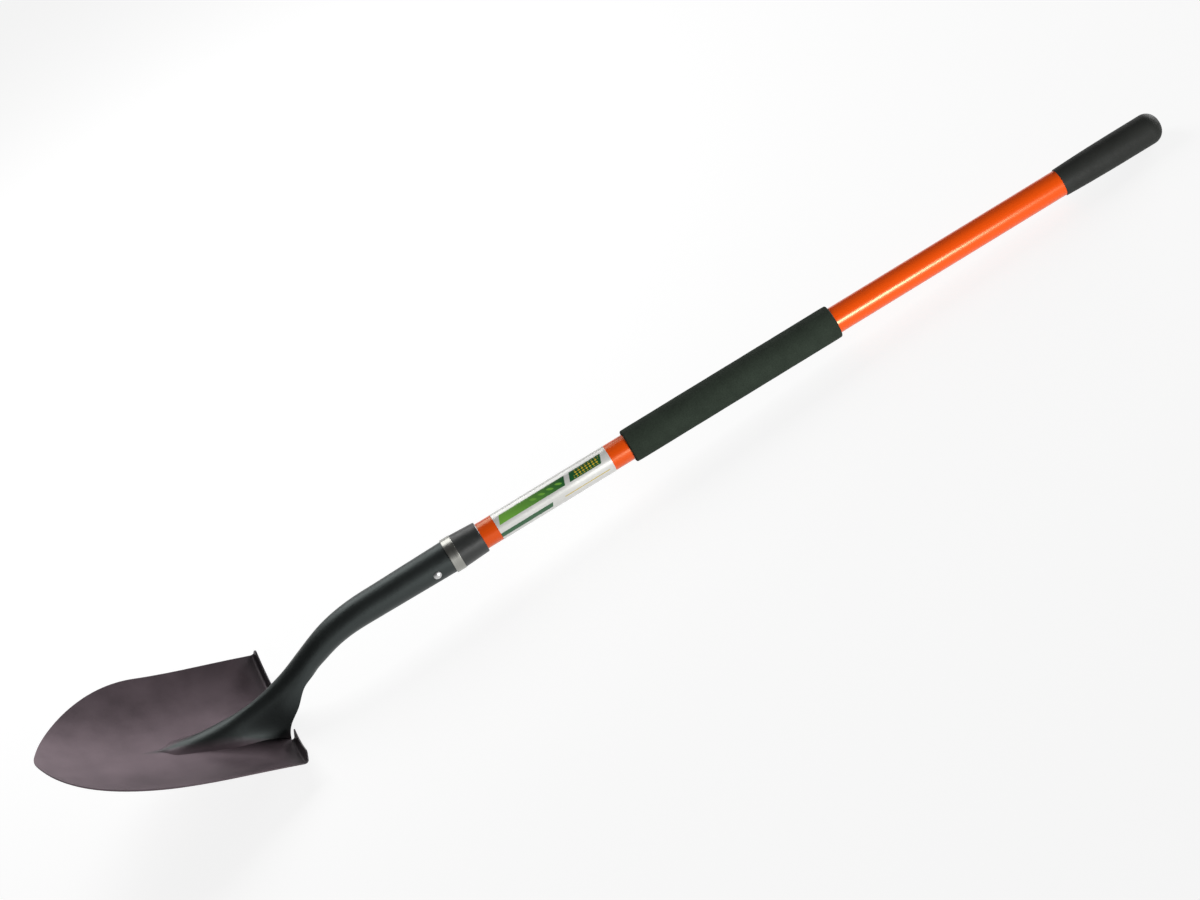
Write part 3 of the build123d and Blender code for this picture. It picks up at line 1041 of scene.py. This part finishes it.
@dataclass
class EndGrip:
    """Rubber cap over the end of the handle.

    Attributes:
        length: length of the cap.
        bore: radius of its bore.
        floor: thickness of its end wall.
        lip: outer radius at its mouth.
        lip_round: radius of the mouth's outer edge.
        radius: outer radius of its fuller part.
        swell: distance over which it swells.
        rounding: radius of its end's corner.
        parting: height of the mould's parting line.
        parting_width: half the width of the parting line.
        uneven: depth of the slight unevenness of its skin.
        uneven_size: size of that unevenness.
        steps: number of steps along its swelling side.
        lip_steps: number of steps round the mouth's edge.
        corner_steps: number of steps round its end's corner.
        segments: number of steps round the handle.
        sharp_angle: edges sharper than this many degrees stay sharp.
    """

    length: float = 135.2 * MM
    bore: float = 16.05 * MM
    floor: float = 11.0 * MM
    lip: float = 17.1 * MM
    lip_round: float = 0.4 * MM
    radius: float = 18.7 * MM
    swell: float = 84.0 * MM
    rounding: float = 16.0 * MM
    parting: float = 0.12 * MM
    parting_width: float = 0.9 * MM
    uneven: float = 0.06 * MM
    uneven_size: float = 18 * MM
    steps: int = 70
    lip_steps: int = 5
    corner_steps: int = 32
    segments: int = 256
    sharp_angle: float = 50.0

    def profile(self) -> list[Pair]:
        """Section of the cap, from the bottom of its bore round its outside to the axis.

        Returns:
            Points as (along, radius).
        """
        start = LINE.end - self.length
        bottom = LINE.end - self.floor
        edge = start + self.lip_round
        mouth = arc((edge, self.lip - self.lip_round), self.lip_round, 180, 90, self.lip_steps)
        shares = [step / self.steps for step in range(1, self.steps + 1)]
        rise = self.radius - self.lip
        skirt = [(edge + self.swell * u, self.lip + rise * (2 * u - u * u)) for u in shares]
        centre = (LINE.end - self.rounding, self.radius - self.rounding)
        corner = arc(centre, self.rounding, 90, 0, self.corner_steps)
        inside = [(bottom, 0.0), (bottom, self.bore), (start, self.bore)]
        return inside + mouth + skirt + corner + [(LINE.end, 0.0)]

    def build(self) -> bpy.types.Object:
        """Make the cap with the parting line of its mould.

        Returns:
            The piece, riding on the shovel in place of its plain solid.
        """
        piece = turned_piece("end_grip_cap", self.profile(), self.segments, closed=False)
        for vertex in piece.data.vertices:
            outward = Vector((0.0, vertex.co.y, vertex.co.z))
            if outward.length < self.bore + self.lip_round:
                continue
            ridge = max(0.0, 1.0 - abs(vertex.co.z) / self.parting_width)
            sink = self.uneven * (noise.noise(vertex.co / self.uneven_size) - 1.0)
            vertex.co += outward.normalized() * (sink + self.parting * ridge)
        settle(piece, self.sharp_angle)
        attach(piece, BODY)
        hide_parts("end_grip")
        dress(piece, Slot.RUBBER)
        return piece


@dataclass
class PackedPieces:
    """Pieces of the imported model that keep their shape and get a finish.

    Attributes:
        nodes: each piece's node with its slot.
    """

    nodes: tuple[tuple[str, Slot], ...]

    def dress(self) -> None:
        """Give each piece its finish."""
        for name, slot in self.nodes:
            dress(frame["nodes"][name], slot)


@dataclass
class ShovelHead(PackedPieces):
    """The head and what fastens it: pressed blade, bright band, collar and rivet."""

    nodes: tuple[tuple[str, Slot], ...] = (
        ("shovel_head", Slot.HEAD),
        ("socket_band", Slot.BAND),
        ("collar_bush", Slot.COLLAR),
        ("socket_rivet", Slot.RIVET),
    )


@dataclass
class Handle(PackedPieces):
    """The tube with its core and its label."""

    nodes: tuple[tuple[str, Slot], ...] = (
        ("handle_tube", Slot.HANDLE),
        ("core_plug", Slot.CORE),
        ("label_sleeve", Slot.LABEL),
    )


# Studio


@dataclass(frozen=True)
class Softbox:
    """A soft rectangular lamp.

    Attributes:
        name: its name.
        place: where it stands.
        target: the point that it faces.
        width: its width.
        height: its height.
        power: its power in watts.
        lights_floor: whether its light falls on the floor too.
    """

    name: str
    place: Triple
    target: Triple
    width: float
    height: float
    power: float
    lights_floor: bool = True

    def build(self, floor: bpy.types.Object) -> bpy.types.Object:
        """Make the lamp, hidden from the camera.

        Args:
            floor: the studio's floor.

        Returns:
            The lamp's object.
        """
        lamp = bpy.data.lights.new(self.name, "AREA")
        lamp.shape = "RECTANGLE"
        lamp.size = self.width
        lamp.size_y = self.height
        lamp.energy = self.power
        holder = bpy.data.objects.new(self.name, lamp)
        holder.location = self.place
        look = Vector(self.target) - Vector(self.place)
        holder.rotation_euler = look.to_track_quat("-Z", "Y").to_euler()
        holder.visible_camera = False
        bpy.context.scene.collection.objects.link(holder)
        if not self.lights_floor:
            receivers = bpy.data.collections.new(self.name + "_receivers")
            receivers.objects.link(floor)
            receivers.collection_objects[0].light_linking.link_state = "EXCLUDE"
            holder.light_linking.receiver_collection = receivers
        return holder


@dataclass
class Studio:
    """White sweep, soft lamps and the camera of the photograph.

    Attributes:
        lamps: the soft lamps.
        floor_size: side of the floor.
        floor_drop: how far the floor lies under the shovel, so that the two never coincide.
        floor_grey: how much of its light the floor gives back.
        floor_glow: light that the floor adds to what it gets, seen by the camera and in reflections.
        room_light: light of the room round the shovel.
        sweep_top: height of the white sweep behind the floor, as the sine of its angle above the ground.
        sweep_fade: distance over which the sweep gives way to the room, as a sine.
        camera_place: where the camera stands.
        camera_aim: the point of the ground in the middle of the picture.
        camera_roll: turn of the camera about its own axis in degrees.
        camera_reach: distance that the camera sees.
        sensor_width: width of the picture in the camera, in millimetres.
        lens: focal length in millimetres.
    """

    lamps: tuple[Softbox, ...] = (
        Softbox(
            name="end_wall_box", place=(4.0, 2.76, 0.35), target=(-0.5, 0.0, 0.1),
            width=3.5, height=0.64, power=225.0,
        ),
        Softbox(
            name="back_box", place=(-0.38, 1.0, 0.97), target=(-0.4, 0.0, 0.1),
            width=1.0, height=1.0, power=11.0,
        ),
        Softbox(
            name="front_strip", place=(0.42, -1.05, 0.2), target=(0.4, 0.0, 0.05),
            width=0.46, height=0.3, power=15.0, lights_floor=False,
        ),
    )
    floor_size: float = 40.0
    floor_drop: float = 0.3 * MM
    floor_grey: float = 0.26
    floor_glow: float = 0.86
    room_light: float = 0.08
    sweep_top: float = 0.14
    sweep_fade: float = 0.02
    camera_place: Triple = (-0.10362, -3.03877, 2.47954)
    camera_aim: Triple = (-0.00932, 0.09574, 0.0)
    camera_roll: float = -32.811
    camera_reach: float = 100.0
    sensor_width: float = 36.0
    lens: float = 101.93

    def build(self) -> None:
        """Build the floor, the surroundings, the lamps and the camera."""
        floor = self.floor()
        self.surroundings()
        for lamp in self.lamps:
            lamp.build(floor)
        self.camera()
        bpy.context.scene.view_settings.view_transform = "Standard"

    @staticmethod
    def seen_straight(wiring: Wiring) -> Socket:
        """Mask that is 1 for what the camera sees, in reflections and through glass too.

        Args:
            wiring: wiring of the floor's material or of the world.

        Returns:
            The mask.
        """
        path = wiring.add("LightPath").outputs
        seen = wiring.math("MAXIMUM", path["Is Camera Ray"], path["Is Glossy Ray"])
        return wiring.math("MAXIMUM", seen, path["Is Transmission Ray"])

    def floor(self) -> bpy.types.Object:
        """White floor that keeps the shovel's shadow.

        Returns:
            The floor.
        """
        half = self.floor_size / 2
        corners = [(x * half, y * half, -self.floor_drop) for x, y in ((-1, -1), (1, -1), (1, 1), (-1, 1))]
        mesh = bpy.data.meshes.new("floor")
        mesh.from_pydata(corners, [], [(0, 1, 2, 3)])
        floor = bpy.data.objects.new("floor", mesh)
        bpy.context.scene.collection.objects.link(floor)
        material = bpy.data.materials.new("floor_white")
        material.use_nodes = True
        wiring = Wiring(material.node_tree)
        shader = material.node_tree.nodes["Principled BSDF"]
        shader.inputs["Base Color"].default_value = (self.floor_grey, self.floor_grey, self.floor_grey, 1.0)
        shader.inputs["Roughness"].default_value = 1.0
        shader.inputs["Specular IOR Level"].default_value = 0.0
        shader.inputs["Emission Color"].default_value = WHITE
        glow = wiring.math("MULTIPLY", self.seen_straight(wiring), self.floor_glow)
        wiring.feed(shader.inputs["Emission Strength"], glow)
        mesh.materials.append(material)
        return floor

    def surroundings(self) -> None:
        """Dim room, with the white sweep going on behind the far edge of the floor."""
        world = bpy.data.worlds.new("studio")
        bpy.context.scene.world = world
        world.use_nodes = True
        wiring = Wiring(world.node_tree)
        background = world.node_tree.nodes["Background"]
        height = wiring.add("SeparateXYZ", {0: wiring.add("TexCoord").outputs["Generated"]}).outputs["Z"]
        sweep = wiring.span(height, self.sweep_top, self.sweep_top + self.sweep_fade, 1.0, 0.0)
        white = wiring.math("MULTIPLY", sweep, self.seen_straight(wiring))
        wiring.feed(background.inputs["Strength"], wiring.span(white, 0.0, 1.0, self.room_light, 1.0))
        background.inputs["Color"].default_value = WHITE

    def camera(self) -> None:
        """Camera at the photograph's place and angle."""
        data = bpy.data.cameras.new("camera")
        data.sensor_fit = "HORIZONTAL"
        data.sensor_width = self.sensor_width
        data.lens = self.lens
        data.clip_end = self.camera_reach
        camera = bpy.data.objects.new("camera", data)
        look = Vector(self.camera_aim) - Vector(self.camera_place)
        roll = Matrix.Rotation(math.radians(self.camera_roll), 4, "Z")
        turn = look.to_track_quat("-Z", "Y").to_matrix().to_4x4() @ roll
        camera.matrix_world = Matrix.Translation(self.camera_place) @ turn
        bpy.context.scene.collection.objects.link(camera)
        bpy.context.scene.camera = camera


def main() -> None:
    """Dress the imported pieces, build the soft ones, and set up the studio."""
    logging.basicConfig(level=logging.INFO)
    ShovelHead().dress()
    Handle().dress()
    for grip in (FoamGrip(), EndGrip()):
        piece = grip.build()
        LOG.info("built %s with %d faces", piece.name, len(piece.data.polygons))
    Studio().build()


if __name__ == "__main__":
    main()
